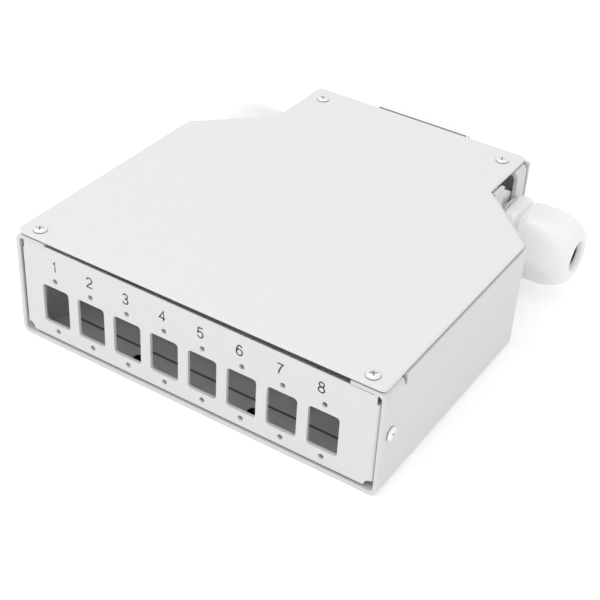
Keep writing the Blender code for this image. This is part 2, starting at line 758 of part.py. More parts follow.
def make_gland_nut(side_name, frame):
    """Domed hexagonal nut that squeezes the claws round the cable."""
    dome = NUT_LENGTH - NUT_STRAIGHT
    outer = []
    steps = 8
    for step in range(steps + 1):
        angle = math.pi / 2 * (1 - step / steps)
        outer.append((NUT_END_RADIUS + (NUT_CROWN_RADIUS - NUT_END_RADIUS) * math.cos(angle),
                      NUT_START + NUT_STRAIGHT + dome * math.sin(angle)))
    bore = CLAW_THREAD_RADIUS + SEAT_GAP
    shoulder = HEX_END + CLAW_THREAD_LENGTH + SEAT_GAP
    throat = CLAW_TIP_RADIUS + 2 * SEAT_GAP
    claw_tip = HEX_END + CLAW_THREAD_LENGTH + CLAW_LENGTH
    profile = [*outer, (NUT_CROWN_RADIUS, NUT_START + 0.5), (NUT_CROWN_RADIUS - 0.5, NUT_START),
               (bore, NUT_START), (bore, shoulder), (throat, claw_tip + SEAT_GAP),
               (NUT_MOUTH_RADIUS, NUT_END - NUT_WALL), (NUT_MOUTH_RADIUS, NUT_END - 0.4),
               (NUT_MOUTH_RADIUS + 0.4, NUT_END)]
    name = f"gland_nut_{side_name}"
    nut = add_part(name, turned_mesh(name, profile), NYLON, frame)
    turn(nut)
    bar = add_cutter(f"{name}_hex", hex_mesh("hex", NUT_FLATS, NUT_START - 1, NUT_END + 1), frame)
    boolean(nut, bar, "INTERSECT")
    return nut


def make_gland(side_sign, side_name):
    frame = add_empty(f"gland_axis_{side_name}", (side_sign * HALF_REAR, GLAND_Y, GLAND_UP),
                      (0, side_sign * math.pi / 2, 0))
    make_gland_body(side_name, frame)
    make_gland_nut(side_name, frame)
    washer = [(GLAND_WASHER_RADIUS, SEAT_GAP + GLAND_WASHER_THICKNESS), (GLAND_WASHER_RADIUS, SEAT_GAP),
              (GLAND_THREAD_RADIUS + SEAT_GAP, SEAT_GAP),
              (GLAND_THREAD_RADIUS + SEAT_GAP, SEAT_GAP + GLAND_WASHER_THICKNESS)]
    turn(add_part(f"gland_washer_{side_name}", turned_mesh("washer", washer), RUBBER, frame))
    seal_outer = GLAND_BORE_RADIUS - SEAT_GAP
    seal_inner = seal_outer - SEAL_WALL
    seal_end = HEX_END + CLAW_THREAD_LENGTH + CLAW_LENGTH
    seal_start = seal_end - SEAL_LENGTH
    seal = [(seal_outer - 0.6, seal_end), (seal_outer, seal_end - 0.6), (seal_outer, seal_start),
            (seal_inner, seal_start), (seal_inner, seal_end)]
    turn(add_part(f"gland_seal_{side_name}", turned_mesh("seal", seal), RUBBER, frame), 32)
    top = -TRAY_SHEET - SEAT_GAP
    low = top - LOCKNUT_LENGTH
    corner = LOCKNUT_FLATS / math.sqrt(3)
    hole = GLAND_THREAD_RADIUS + SEAT_GAP
    ring = [(corner, top), (corner, low + 0.8), (corner - 0.8, low), (hole, low), (hole, top)]
    name = f"gland_locknut_{side_name}"
    locknut = add_part(name, turned_mesh(name, ring), NYLON, frame)
    turn(locknut)
    bar = add_cutter(f"{name}_hex", hex_mesh("hex", LOCKNUT_FLATS, low - 1, top + 1, math.pi / 6), frame)
    boolean(locknut, bar, "INTERSECT")


# Rail clip

def clip_screw_places():
    return [-CLIP_SCREW_SPACING / 2, CLIP_SCREW_SPACING / 2]


def add_hook(bm, start, end, out, flange, run, lip):
    """A J shaped hook: the sheet turns along flange, runs on, and turns back against out."""
    rows = bend_rows(out, flange, CLIP_BEND, run)
    rows += bend_rows(flange, -out, CLIP_BEND, lip, base=rows[-1])[1:]
    add_strip(bm, start, end, rows)


def make_clip_base():
    """Zinc plated plate with a fixed lower hook, two folded feet and a lanced spring stop."""
    bm = bmesh.new()
    half = CLIP_WIDTH / 2 - CLIP_BEND
    window = WINDOW_WIDTH / 2
    tab = CLIP_TAB_WIDTH / 2
    low = CLIP_BOTTOM + CLIP_BEND
    columns = [-half, -window, -tab, tab, window, half]
    rows = [low, FOOT_START, WINDOW_BOTTOM, WINDOW_TOP, FOOT_TOP, PLATE_TOP]
    y = CLIP_FACE
    for left, right in zip(columns, columns[1:]):
        for bottom, top in zip(rows, rows[1:]):
            if bottom == WINDOW_BOTTOM and left >= -window and right <= window:
                continue
            add_sheet_face(bm, [(left, y, bottom), (right, y, bottom), (right, y, top), (left, y, top)])
    down, back, front = Vector((0, 0, -1)), Vector((0, 1, 0)), Vector((0, -1, 0))
    run = CLIP_SHEET + RAIL_THROAT + CLIP_SHEET - 2 * CLIP_BEND
    for left, right in zip(columns, columns[1:]):
        add_hook(bm, Vector((right, y, low)), Vector((left, y, low)), down, back, run, HOOK_LIP - CLIP_BEND)
    inner = CLIP_BEND - CLIP_SHEET
    foot_run = CLIP_STANDOFF - SEAT_GAP - inner
    right_out, left_out = Vector((1, 0, 0)), Vector((-1, 0, 0))
    for bottom, top in zip(rows[1:4], rows[2:5]):
        add_strip(bm, Vector((half, y, top)), Vector((half, y, bottom)),
                  bend_rows(right_out, front, inner, foot_run))
        add_strip(bm, Vector((-half, y, bottom)), Vector((-half, y, top)),
                  bend_rows(left_out, front, inner, foot_run))
    add_strip(bm, Vector((tab, y, WINDOW_TOP)), Vector((-tab, y, WINDOW_TOP)),
              bend_rows(down, back, CLIP_BEND, CLIP_TAB_LENGTH - CLIP_BEND))
    base = add_part("clip_base", finish_mesh("clip_base", bm), ZINC)
    solidify(base, CLIP_SHEET)
    for number, x in enumerate(clip_screw_places()):
        drill(base, f"clip_hole_{number}", (x, y, CLIP_SCREW_UP), SCREW_RADIUS + SCREW_GAP,
              4 * CLIP_SHEET, "Y")
    return base


def make_clip_latch():
    """Sliding latch behind the plate, with the upper hook and a tab that the spring pushes down."""
    bm = bmesh.new()
    half = LATCH_WIDTH / 2
    wide = CLIP_WIDTH / 2
    tab = CLIP_TAB_WIDTH / 2
    low = LATCH_LOW + CLIP_BEND
    top = LATCH_TOP - CLIP_BEND
    y = LATCH_FACE
    for left, right in ((-half, -tab), (-tab, tab), (tab, half)):
        add_sheet_face(bm, [(left, y, low), (right, y, low), (right, y, LATCH_SHOULDER),
                            (left, y, LATCH_SHOULDER)])
    up, down, back = Vector((0, 0, 1)), Vector((0, 0, -1)), Vector((0, 1, 0))
    reach = CLIP_STANDOFF - SEAT_GAP + CLIP_SHEET + RAIL_THROAT + CLIP_SHEET
    for left, right in ((-wide, -half), (-half, -tab), (-tab, tab), (tab, half), (half, wide)):
        add_sheet_face(bm, [(left, y, LATCH_SHOULDER), (right, y, LATCH_SHOULDER), (right, y, top),
                            (left, y, top)])
        add_hook(bm, Vector((left, y, top)), Vector((right, y, top)), up, back, reach - 2 * CLIP_BEND,
                 LATCH_LIP - CLIP_BEND)
    add_strip(bm, Vector((tab, y, low)), Vector((-tab, y, low)),
              bend_rows(down, back, CLIP_BEND, CLIP_TAB_LENGTH + CLIP_STANDOFF - SEAT_GAP - CLIP_BEND))
    latch = add_part("clip_latch", finish_mesh("clip_latch", bm), ZINC)
    solidify(latch, CLIP_SHEET)
    return latch


def make_clip_spring():
    """Coil spring between the latch's lower tab and the plate's upper tab."""
    low = LATCH_LOW + CLIP_SHEET + SEAT_GAP + SPRING_WIRE
    high = WINDOW_TOP - CLIP_BEND - SEAT_GAP - SPRING_WIRE
    per_turn = 10
    count = SPRING_TURNS * per_turn
    curve = bpy.data.curves.new("clip_spring", "CURVE")
    curve.dimensions = "3D"
    curve.bevel_depth = SPRING_WIRE * MM
    curve.bevel_resolution = 1
    curve.use_fill_caps = True
    spline = curve.splines.new("POLY")
    spline.points.add(count)
    for number, point in enumerate(spline.points):
        angle = math.tau * number / per_turn
        height = low + (high - low) * number / count
        point.co = (SPRING_RADIUS * math.cos(angle) * MM, SPRING_RADIUS * math.sin(angle) * MM,
                    height * MM, 1.0)
    spring = add_part("clip_spring", curve, SPRING_STEEL)
    spring.location.y = (CLIP_FACE + SPRING_RADIUS + SPRING_WIRE) * MM
    return spring


def make_clip():
    make_clip_base()
    make_clip_latch()
    make_clip_spring()
    head_seat = CLIP_FACE + CLIP_SHEET + SEAT_GAP
    for side_name, x in zip(("left", "right"), clip_screw_places()):
        make_screw(f"clip_screw_{side_name}", (x, head_seat, CLIP_SCREW_UP), (0, 1, 0), CLIP_SCREW_LENGTH)
        make_nut(f"clip_screw_nut_{side_name}", x)


def make_nut(name, x):
    """Hexagonal nut on the inside of the back wall."""
    start = BACK - TRAY_SHEET - SEAT_GAP - NUT_THICKNESS
    corner = NUT_AF / math.sqrt(3)
    bore = SCREW_RADIUS + SCREW_GAP
    ring = [(corner - 0.3, NUT_THICKNESS), (corner, NUT_THICKNESS - 0.3), (corner, 0.3), (corner - 0.3, 0.0),
            (bore, 0.0), (bore, NUT_THICKNESS)]
    nut = add_part(name, turned_mesh(name, ring), ZINC)
    turn(nut, 24)
    nut.rotation_euler.x = -math.pi / 2
    nut.location = Vector((x, start, CLIP_SCREW_UP)) * MM
    bar = add_cutter(f"{name}_hex", hex_mesh("hex", NUT_AF, -1, NUT_THICKNESS + 1), nut)
    boolean(nut, bar, "INTERSECT")


# Splice holder

def make_splice_holder():
    """Moulded comb with a channel for each splice protector, open in the middle."""
    half = HOLDER_CHANNELS * HOLDER_PITCH / 2 + (HOLDER_PITCH - HOLDER_CHANNEL) / 2
    outline = [(-half, 0.0), (half, 0.0), (half, HOLDER_HEIGHT)]
    for number in reversed(range(HOLDER_CHANNELS)):
        centre = (number - (HOLDER_CHANNELS - 1) / 2) * HOLDER_PITCH
        radius = HOLDER_CHANNEL / 2
        floor = HOLDER_BASE + radius
        outline.append((centre + radius, HOLDER_HEIGHT))
        outline += arc_points((centre, floor), radius, 0, -180, 4)
        outline.append((centre - radius, HOLDER_HEIGHT))
    outline.append((-half, HOLDER_HEIGHT))
    holder = add_part("splice_holder", plate_mesh("splice_holder", outline, HOLDER_LENGTH), HOLDER_PLASTIC)
    holder.rotation_euler.x = math.pi / 2
    holder.location = Vector((0, HOLDER_SHIFT + HOLDER_LENGTH / 2, TRAY_SHEET + SEAT_GAP)) * MM
    gap_height = HOLDER_HEIGHT
    gap = add_cutter("holder_gap", box_mesh("holder_gap", (2.5 * half, HOLDER_GAP, gap_height)))
    gap.location = Vector((0, HOLDER_SHIFT, TRAY_SHEET + SEAT_GAP + HOLDER_BASE + gap_height / 2)) * MM
    boolean(holder, gap)
    return holder


clear_scene()
parts = new_collection(OBJECT_NAME)
cutters = new_collection(OBJECT_NAME + "_cutters")

make_tray()
make_cover()
make_panel()
make_screws()
make_gland(-1, "left")
make_gland(1, "right")
make_clip()
make_splice_holder()
bpy.context.view_layer.update()
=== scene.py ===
"""Looks of the fibre splice box: camera, light, materials and the fine pieces that the CAD leaves out."""

import json
import math

import bmesh
import bpy
from mathutils import Matrix, Vector


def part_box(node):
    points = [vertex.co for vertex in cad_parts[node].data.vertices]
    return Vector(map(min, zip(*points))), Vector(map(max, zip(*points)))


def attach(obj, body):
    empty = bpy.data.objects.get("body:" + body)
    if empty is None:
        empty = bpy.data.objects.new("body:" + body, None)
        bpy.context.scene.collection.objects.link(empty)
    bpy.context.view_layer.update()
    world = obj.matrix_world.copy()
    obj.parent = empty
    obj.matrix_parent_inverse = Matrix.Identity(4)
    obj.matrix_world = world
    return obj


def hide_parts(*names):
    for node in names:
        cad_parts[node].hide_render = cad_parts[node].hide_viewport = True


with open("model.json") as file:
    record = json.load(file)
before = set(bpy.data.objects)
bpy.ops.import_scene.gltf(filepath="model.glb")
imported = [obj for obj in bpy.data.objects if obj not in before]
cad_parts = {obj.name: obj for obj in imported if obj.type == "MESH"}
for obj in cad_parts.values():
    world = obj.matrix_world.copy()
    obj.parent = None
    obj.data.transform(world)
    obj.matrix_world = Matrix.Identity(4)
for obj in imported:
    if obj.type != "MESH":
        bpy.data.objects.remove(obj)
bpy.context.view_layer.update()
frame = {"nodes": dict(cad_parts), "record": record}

MM = 0.001
NODES = frame["nodes"]
BODY_OF = {node: body for body, nodes in frame["record"]["behaviour"]["bodies"].items() for node in nodes}
TRAY_BOX = [Vector(corner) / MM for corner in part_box("base_tray")]
PANEL_BOX = [Vector(corner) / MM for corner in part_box("front_panel")]
GLAND_MIDDLE = sum((Vector(corner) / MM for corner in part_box("gland_washer_right")), Vector()) / 2

# Camera, fitted to the photograph
CAMERA_PLACE = (0.16910074, -0.29008412, 0.24348728)
CAMERA_RIGHT = (0.83894634, 0.54199017, 0.04914979)
CAMERA_DOWN = (0.35269958, -0.47271115, -0.80755630)
CAMERA_FORWARD = (-0.41445392, 0.69483151, -0.58773899)
CAMERA_LENS = 79.109

# Light
SKY_LEVEL = 0.85
FLOOR_GLOW = 0.42
FLOOR_BOUNCE = 0.1
FLOOR_SEEN = 0.72
FLOOR_LIT = 0.9
FLOOR_LEVEL = -0.0001
FLOOR_HALF = 6.0
KEY_LAMP = {"place": (-0.25, -0.45, 0.85), "target": (0, 0, 0), "size": (0.9, 0.9), "power": 2.2,
            "colour": (1.0, 1.0, 1.0)}
SIDE_LAMP = {"place": (0.9, 0.1, 0.3), "target": (0, 0, 0.02), "size": (0.8, 0.5), "power": 0.1,
             "colour": (0.95, 0.97, 1.0)}

# Sheet metal as the photograph shows it, where it differs a little from the solids
SHEET = 1.5
SHEET_THINNER = 0.3
TRAY_BEND = 2.4
REAR_HALF = 40.5
REAR_FROM = 30.0
SHOULDER = (12.0, 40.3)
SHOULDER_SHIFT = 2.05
TAB_REACH = 1.6
TAB_DEPTH = 2.0
TAB_SPAN = (45.0, 58.0)
SLOT_HALF = 3.6
SLOT_WIDER = 1.4
SLOT_ABOVE = 8.0
SLOT_WALL = 3.0

# Corners of the cover behind this half width: up to which depth, how far outward and how far back they move
COVER_CORNER = 36.0
COVER_MOVES = ((25.0, 0.0, 0.92), (50.0, -0.8, 1.72), (math.inf, -0.8, 0.0))

# The panel's outline, and the fixing holes of its ports
PANEL_WIDER = 0.3
PANEL_BEND = (1.6, 1.1)
PANEL_TOP_DROP = 0.85
PANEL_TOP_SLOPE = 0.006
PANEL_TOP_CANT = 0.5
PANEL_MIDDLE = 0.5
PORT_PITCH = 13.0
PORT_ROW_SHIFT = -2.0
PORT_HOLE_LEVELS = (4.9, 22.9)
PORT_HOLE_REACH = 1.3
HOLE_SHARE = 0.78
PANEL_FRONT = 1.2

# Seats of the cover screws: outer radius, radius at the bottom, depth
DIMPLE = (2.6, 1.8, 0.35)
DIMPLE_ROUND = 36

# Rounding of the edges
TRAY_ROUNDING = 0.28
PANEL_ROUNDING = 0.2
ZINC_ROUNDING = 0.14
SQUARE_NUT_ROUNDING = 0.12
MOULD_ROUNDING = 0.2
SHEET_ANGLE = 38

# Places in metres for painted light in the materials: painted shade and a painted shadow line on the panel's
# flange, a painted highlight and a painted shadow line on the clip's top
FLANGE_SHADE_TOP = (0.003, 0.0034)
FLANGE_SHADE_START = (-0.0625, -0.061)
FLANGE_SHADOW_LINE = (-0.05335, -0.05315)
CLIP_HIGHLIGHT_TOP = (0.0346, 0.0348)
CLIP_SHADOW_BEND = (0.0659, 0.066)

# Numbers over the ports
NUMBER_HEIGHT = 3.4
NUMBER_STROKE = 0.22
NUMBER_LEVEL = 28.1
NUMBER_PITCH = 12.78
NUMBER_MIDDLE = -2.53

# Machine screws: radius, head radius, head height, pitch, reach and half width of the recess, its depth
SHEET_SCREW = (1.0, 2.0, 1.05, 0.4, 1.35, 0.26, 0.8)
FLOOR_SCREW = (1.0, 2.0, 1.3, 0.4, 1.3, 0.28, 0.9)
CLIP_SCREW = (1.45, 2.7, 1.35, 0.5, 1.55, 0.36, 1.0)

# Where the screws sit along their own axis, and how long they are under the head
COVER_SEAT = (35.95, 4.0)
SIDE_SEAT = (61.08, 4.0)
FLOOR_SEAT = (2.6, 2.2)
CLIP_SEAT = (67.3, 6.5)

# Cable gland, along its own axis outwards from the wall
GLAND_PITCH = 1.5
GLAND_ROUND = 144
GLAND_FLATS = 22.0
FLANGE_START = 1.6
FLANGE_END = 5.8
NUT_START = 7.3
NUT_END = 25.5
NUT_CROWN = 12.3
NUT_LIP = 6.4
NUT_STRAIGHT = 6.8
LOCKNUT_FLATS = 25.0
LOCKNUT_START = -1.5
LOCKNUT_END = -6.5


def rgb(red, green, blue):
    """A colour in Blender's linear values from 0 to 255 display values."""
    def linear(value):
        share = value / 255
        return share / 12.92 if share <= 0.04045 else ((share + 0.055) / 1.055) ** 2.4
    return (linear(red), linear(green), linear(blue), 1.0)


# Materials

class Finish:
    """A material under construction, with short ways to add its nodes."""

    def __init__(self, name):
        self.material = bpy.data.materials.new(name)
        self.material.use_nodes = True
        self.tree = self.material.node_tree
        self.shader = self.tree.nodes["Principled BSDF"]
        self.place = self.add("ShaderNodeTexCoord").outputs["Object"]

    def add(self, kind, **settings):
        made = self.tree.nodes.new(kind)
        for key, value in settings.items():
            setattr(made, key, value)
        return made

    def link(self, source, target):
        self.tree.links.new(source, target)

    def set(self, **values):
        for key, value in values.items():
            self.shader.inputs[key.replace("_", " ").title().replace("Ior", "IOR")].default_value = value

    def noise(self, scale, detail=2.0, roughness=0.5, stretch=None):
        """Noise with so many features per metre."""
        made = self.add("ShaderNodeTexNoise")
        made.inputs["Scale"].default_value = scale
        made.inputs["Detail"].default_value = detail
        made.inputs["Roughness"].default_value = roughness
        place = self.place
        if stretch:
            mapping = self.add("ShaderNodeMapping")
            mapping.inputs["Scale"].default_value = stretch
            self.link(place, mapping.inputs["Vector"])
            place = mapping.outputs["Vector"]
        self.link(place, made.inputs["Vector"])
        return made.outputs["Fac"]

    def spots(self, scale, size):
        """Small round spots, 1 in a spot and 0 outside."""
        cells = self.add("ShaderNodeTexVoronoi")
        cells.inputs["Scale"].default_value = scale
        self.link(self.place, cells.inputs["Vector"])
        return self.span(cells.outputs["Distance"], size * 0.5, size, 1.0, 0.0)

    def span(self, value, low, high, to_low, to_high):
        """Maps a value from one range to another and clamps it."""
        made = self.add("ShaderNodeMapRange")
        made.inputs["From Min"].default_value = low
        made.inputs["From Max"].default_value = high
        made.inputs["To Min"].default_value = to_low
        made.inputs["To Max"].default_value = to_high
        self.link(value, made.inputs["Value"])
        return made.outputs["Result"]

    def painted_hollow_shade(self, base, distance, span, shade):
        """Paints shade into a colour in narrow gaps and hollows, from ambient occlusion."""
        hollow = self.add("ShaderNodeAmbientOcclusion", samples=6)
        hollow.inputs["Distance"].default_value = distance * MM
        return self.blend(self.span(hollow.outputs["AO"], *span, 0.0), base, shade)

    def times(self, first, second):
        made = self.add("ShaderNodeMath", operation="MULTIPLY")
        self.link(first, made.inputs[0])
        self.link(second, made.inputs[1])
        return made.outputs["Value"]

    def blend(self, share, first, second):
        """Mixes two colours, or a colour socket and a colour, by a share."""
        made = self.add("ShaderNodeMix", data_type="RGBA")
        self.link(share, made.inputs["Factor"])
        for value, key in ((first, 6), (second, 7)):
            if isinstance(value, tuple):
                made.inputs[key].default_value = value
            else:
                self.link(value, made.inputs[key])
        return made.outputs[2]

    def colour(self, source):
        self.link(source, self.shader.inputs["Base Color"])

    def rough(self, source):
        self.link(source, self.shader.inputs["Roughness"])

    def bump(self, height, strength, distance):
        """Adds relief on top of any relief already there."""
        made = self.add("ShaderNodeBump")
        made.inputs["Strength"].default_value = strength
        made.inputs["Distance"].default_value = distance * MM
        self.link(height, made.inputs["Height"])
        normal = self.shader.inputs["Normal"]
        if normal.is_linked:
            self.link(normal.links[0].from_socket, made.inputs["Normal"])
        self.link(made.outputs["Normal"], normal)


def flange_painted_shade(made, base):
    """Painted shade on the panel's floor flange, with a painted shadow line along its rear edge."""
    split = made.add("ShaderNodeSeparateXYZ")
    made.link(made.place, split.inputs["Vector"])
    low = made.span(split.outputs["Z"], *FLANGE_SHADE_TOP, 1.0, 0.0)
    shaded_share = made.times(low, made.span(split.outputs["Y"], *FLANGE_SHADE_START, 0.0, 1.0))
    # Painted shadow: a dark grey line along the flange's rear edge.
    line = made.times(low, made.span(split.outputs["Y"], *FLANGE_SHADOW_LINE, 0.0, 1.0))
    return made.blend(line, made.blend(shaded_share, base, rgb(204, 204, 203)), rgb(108, 108, 109))


def powder_coat(name, shade, edge=False, flange=False):
    """Fine textured powder coat: orange peel, soft clouding, a few specks of dust, thinner on the edges, with
    painted shade in narrow gaps and hollows.
    """
    made = Finish(name)
    light = rgb(*shade)
    dark = rgb(*(value - 1 for value in shade))
    clouds = made.span(made.noise(260, 3), 0.35, 0.65, 0.0, 1.0)
    base = made.blend(clouds, dark, light)
    if edge:
        worn = made.span(made.noise(420, 4, 0.6), 0.56, 0.7, 0.0, 0.5)
        base = made.blend(worn, base, rgb(*(min(255, value + 14) for value in shade)))
    # Painted shade and a painted shadow line on the panel's floor flange.
    if flange:
        base = flange_painted_shade(made, base)
    dust = made.times(made.spots(120, 0.05), made.span(made.noise(60), 0.52, 0.6, 0.0, 1.0))
    base = made.blend(dust, base, rgb(*(value - 12 for value in shade)))
    # Painted shade: darker grey in gaps and hollows within 1.6 mm.
    made.colour(made.painted_hollow_shade(base, 1.6, (0.1, 0.48, 0.7), rgb(96, 96, 98)))
    made.rough(made.span(made.noise(900, 3), 0.3, 0.7, 0.42, 0.56))
    made.set(specular_ior_level=0.42)
    made.bump(made.noise(3400, 2, 0.55), 0.22, 0.05)
    made.bump(made.noise(1100, 2, 0.5), 0.25, 0.1)
    return made.material


def nickel(name, shade):
    """Bright nickel plate with faint swirls, small stains and painted shade in its hollows."""
    made = Finish(name)
    streaks = made.noise(2600, 4, 0.6, (1.0, 0.35, 1.0))
    stained = made.span(made.noise(700, 3), 0.42, 0.7, 0.0, 0.12)
    base = made.blend(stained, rgb(*shade), rgb(176, 164, 158))
    # Painted shade: brownish dark grey in the recess and other hollows within 0.5 mm.
    made.colour(made.painted_hollow_shade(base, 0.5, (0.3, 0.8, 0.95), rgb(72, 64, 61)))
    made.set(metallic=1.0)
    made.rough(made.span(streaks, 0.3, 0.7, 0.34, 0.5))
    made.bump(streaks, 0.15, 0.03)
    return made.material


def zinc(name, shade):
    """Blue zinc plate: rolling lines, pale bloom, small scratches, a painted highlight on its top and a
    painted shadow line in its bend.
    """
    made = Finish(name)
    lines = made.noise(5200, 3, 0.55, (0.05, 1.0, 1.0))
    bloom = made.span(made.noise(180, 4, 0.6), 0.4, 0.7, 0.0, 1.0)
    base = made.blend(bloom, rgb(*shade), rgb(247, 249, 252))
    scratches = made.span(made.noise(900, 2, 0.5, (1.0, 0.06, 0.5)), 0.62, 0.68, 0.0, 0.4)
    base = made.blend(scratches, base, rgb(208, 213, 220))
    # Painted highlight: the top face paler; painted shadow: a dark grey-blue line along the bend at the top.
    split = made.add("ShaderNodeSeparateXYZ")
    made.link(made.place, split.inputs["Vector"])
    top = made.span(split.outputs["Z"], *CLIP_HIGHLIGHT_TOP, 0.0, 1.0)
    bend = made.times(made.span(split.outputs["Y"], *CLIP_SHADOW_BEND, 1.0, 0.0), top)
    made.colour(made.blend(bend, made.blend(top, base, rgb(249, 251, 255)), rgb(112, 118, 128)))
    made.set(metallic=1.0)
    made.rough(made.span(bloom, 0.0, 1.0, 0.26, 0.42))
    made.bump(lines, 0.12, 0.03)
    return made.material


def spring_steel(name):
    made = Finish(name)
    drawn = made.noise(3000, 3)
    made.colour(made.blend(made.span(drawn, 0.35, 0.65, 0.0, 1.0), rgb(128, 130, 134), rgb(172, 174, 178)))
    made.set(metallic=1.0)
    made.rough(made.span(drawn, 0.3, 0.7, 0.24, 0.4))
    made.bump(drawn, 0.1, 0.02)
    return made.material


def black_steel(name):
    """Black oxide with rubbed bright patches."""
    made = Finish(name)
    rubbed = made.span(made.noise(1300, 4, 0.6), 0.58, 0.74, 0.0, 0.6)
    made.colour(made.blend(rubbed, rgb(44, 44, 47), rgb(120, 120, 124)))
    made.set(metallic=1.0)
    made.rough(made.span(made.noise(2500), 0.3, 0.7, 0.3, 0.5))
    made.bump(made.noise(2500), 0.15, 0.03)
    return made.material


def nylon(name, shade):
    """Moulded nylon with a light sheen, eroded grain and slow colour drift."""
    made = Finish(name)
    drift = made.span(made.noise(90, 3), 0.35, 0.65, 0.0, 1.0)
    made.colour(made.blend(drift, rgb(*(value - 3 for value in shade)), rgb(*shade)))
    made.set(subsurface_weight=0.8, subsurface_radius=(0.0028, 0.0028, 0.0031), subsurface_scale=1.0)
    made.rough(made.span(made.noise(1500, 3), 0.3, 0.7, 0.3, 0.42))
    made.set(specular_ior_level=0.5)
    made.bump(made.noise(4200, 2), 0.1, 0.03)
    made.bump(made.noise(500, 2), 0.12, 0.05)
    return made.material


def rubber(name, shade):
    made = Finish(name)
    grain = made.noise(2800, 3)
    dusty = made.span(made.noise(260, 3), 0.45, 0.7, 0.0, 0.5)
    made.colour(made.blend(dusty, rgb(*shade), rgb(*(min(255, value + 24) for value in shade))))
    made.rough(made.span(grain, 0.3, 0.7, 0.6, 0.8))
    made.bump(grain, 0.2, 0.04)
    return made.material


def moulded(name, shade):
    made = Finish(name)
    drift = made.span(made.noise(120, 3), 0.35, 0.65, 0.0, 1.0)
    made.colour(made.blend(drift, rgb(*(value - 6 for value in shade)), rgb(*shade)))
    made.rough(made.span(made.noise(1200, 3), 0.3, 0.7, 0.4, 0.55))
    made.bump(made.noise(3600, 2), 0.18, 0.04)
    return made.material


def ink(name):
    """Screen printing ink with slightly uneven cover."""
    made = Finish(name)
    thin = made.span(made.noise(5200, 3, 0.6), 0.5, 0.72, 0.0, 0.5)
    made.colour(made.blend(thin, rgb(46, 46, 48), rgb(92, 92, 94)))
    made.rough(made.span(made.noise(2600), 0.3, 0.7, 0.4, 0.55))
    made.bump(made.noise(3400, 2), 0.2, 0.03)
    return made.material


# One paint on cover, panel and tray; their tones differ as painted light: the cover lighter, the tray darker
# and cooler.
COVER_LIT_TONE = (234, 234, 234)
PANEL_LIT_TONE = (229, 229, 229)
TRAY_SHADED_TONE = (223, 223, 225)
COVER_PAINT = powder_coat("cover_paint", COVER_LIT_TONE)
COVER_EDGE = powder_coat("cover_paint_edge", COVER_LIT_TONE, edge=True)
PANEL_PAINT = powder_coat("panel_paint", PANEL_LIT_TONE, flange=True)
PANEL_EDGE = powder_coat("panel_paint_edge", PANEL_LIT_TONE, edge=True, flange=True)
TRAY_PAINT = powder_coat("tray_paint", TRAY_SHADED_TONE)
TRAY_EDGE = powder_coat("tray_paint_edge", TRAY_SHADED_TONE, edge=True)
NICKEL = nickel("screw_nickel", (243, 241, 240))
BLACK_STEEL = black_steel("screw_black")
NYLON = nylon("gland_nylon", (252, 251, 255))
RUBBER = rubber("seal_rubber", (40, 40, 42))
PALE_RUBBER = rubber("washer_rubber", (206, 206, 211))
ZINC = zinc("clip_zinc", (238, 243, 250))
ZINC_EDGE = zinc("clip_zinc_edge", (226, 233, 242))
SPRING_STEEL = spring_steel("spring_steel")
HOLDER_PLASTIC = moulded("holder_plastic", (222, 222, 219))
INK = ink("number_ink")


# Pieces

def add_piece(name, mesh, material, node=None, body=None):
    """A piece in the scene that stands for a CAD node, or only rides on its body."""
    made = bpy.data.objects.new(name, mesh)
    if not mesh.materials:
        mesh.materials.append(material)
    bpy.context.scene.collection.objects.link(made)
    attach(made, body or BODY_OF[node])
    if node:
        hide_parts(node)
    return made


def applied(made):
    """The object's mesh with its modifiers worked in."""
    bpy.context.view_layer.update()
    seen = made.evaluated_get(bpy.context.evaluated_depsgraph_get())
    return bpy.data.meshes.new_from_object(seen)


def joined(mesh, rule=None, merge=False):
    """Moves the corners of a mesh by a rule, joins split corners and can merge flat faces."""
    bm = bmesh.new()
    bm.from_mesh(mesh)
    if rule:
        for corner in bm.verts:
            corner.co = Vector(rule(*(corner.co / MM))) * MM
    bmesh.ops.remove_doubles(bm, verts=bm.verts, dist=0.003 * MM)
    if merge:
        bmesh.ops.dissolve_limit(bm, angle_limit=math.radians(0.7), verts=bm.verts, edges=bm.edges)
    bm.to_mesh(mesh)
    bm.free()
    return mesh


def whole_mesh(node, rule=None, dimples=()):
    """A copy of a CAD mesh, reshaped by a rule, with seats for screws and merged flat faces."""
    mesh = NODES[node].data.copy()
    mesh.materials.clear()
    mesh = joined(mesh, rule)
    if dimples:
        mesh = dimpled(mesh, dimples)
    return joined(mesh, merge=True)


def round_edges(mesh, width):
    """Rounds the sharp edges of a sheet, with the finish of its second material slot."""
    holder = bpy.data.objects.new("rounding", mesh)
    bpy.context.scene.collection.objects.link(holder)
    mesh.shade_smooth()
    step = holder.modifiers.new("edges", "BEVEL")
    step.width = width * MM
    step.segments = 2
    step.limit_method = "ANGLE"
    step.angle_limit = math.radians(SHEET_ANGLE)
    step.use_clamp_overlap = True
    step.miter_outer = "MITER_ARC"
    step.material = 1
    even = holder.modifiers.new("flat_faces", "WEIGHTED_NORMAL")
    even.mode = "FACE_AREA"
    even.weight = 100
    even.keep_sharp = True
    made = applied(holder)
    bpy.data.objects.remove(holder, do_unlink=True)
    return made


def near(value, target, room=0.04):
    return abs(value - target) < room


def wall_thinned(across, level, outer, height):
    """Moves the inner face of a folded wall and of its bends outwards, in the wall's cross-section."""
    axis = outer - TRAY_BEND
    for middle, turn in ((TRAY_BEND, -1), (height - TRAY_BEND, 1)):
        if across > axis - 0.02 and (level - middle) * turn > -0.02:
            reach = math.hypot(across - axis, level - middle)
            if near(reach, TRAY_BEND - SHEET, 0.1):
                share = (reach + SHEET_THINNER) / reach
                return axis + (across - axis) * share, middle + (level - middle) * share
            return across, level
    if near(across, outer - SHEET):
        return across + SHEET_THINNER, level
    if near(level, SHEET):
        return across, level - SHEET_THINNER
    if near(level, height - SHEET):
        return across, level + SHEET_THINNER
    return across, level


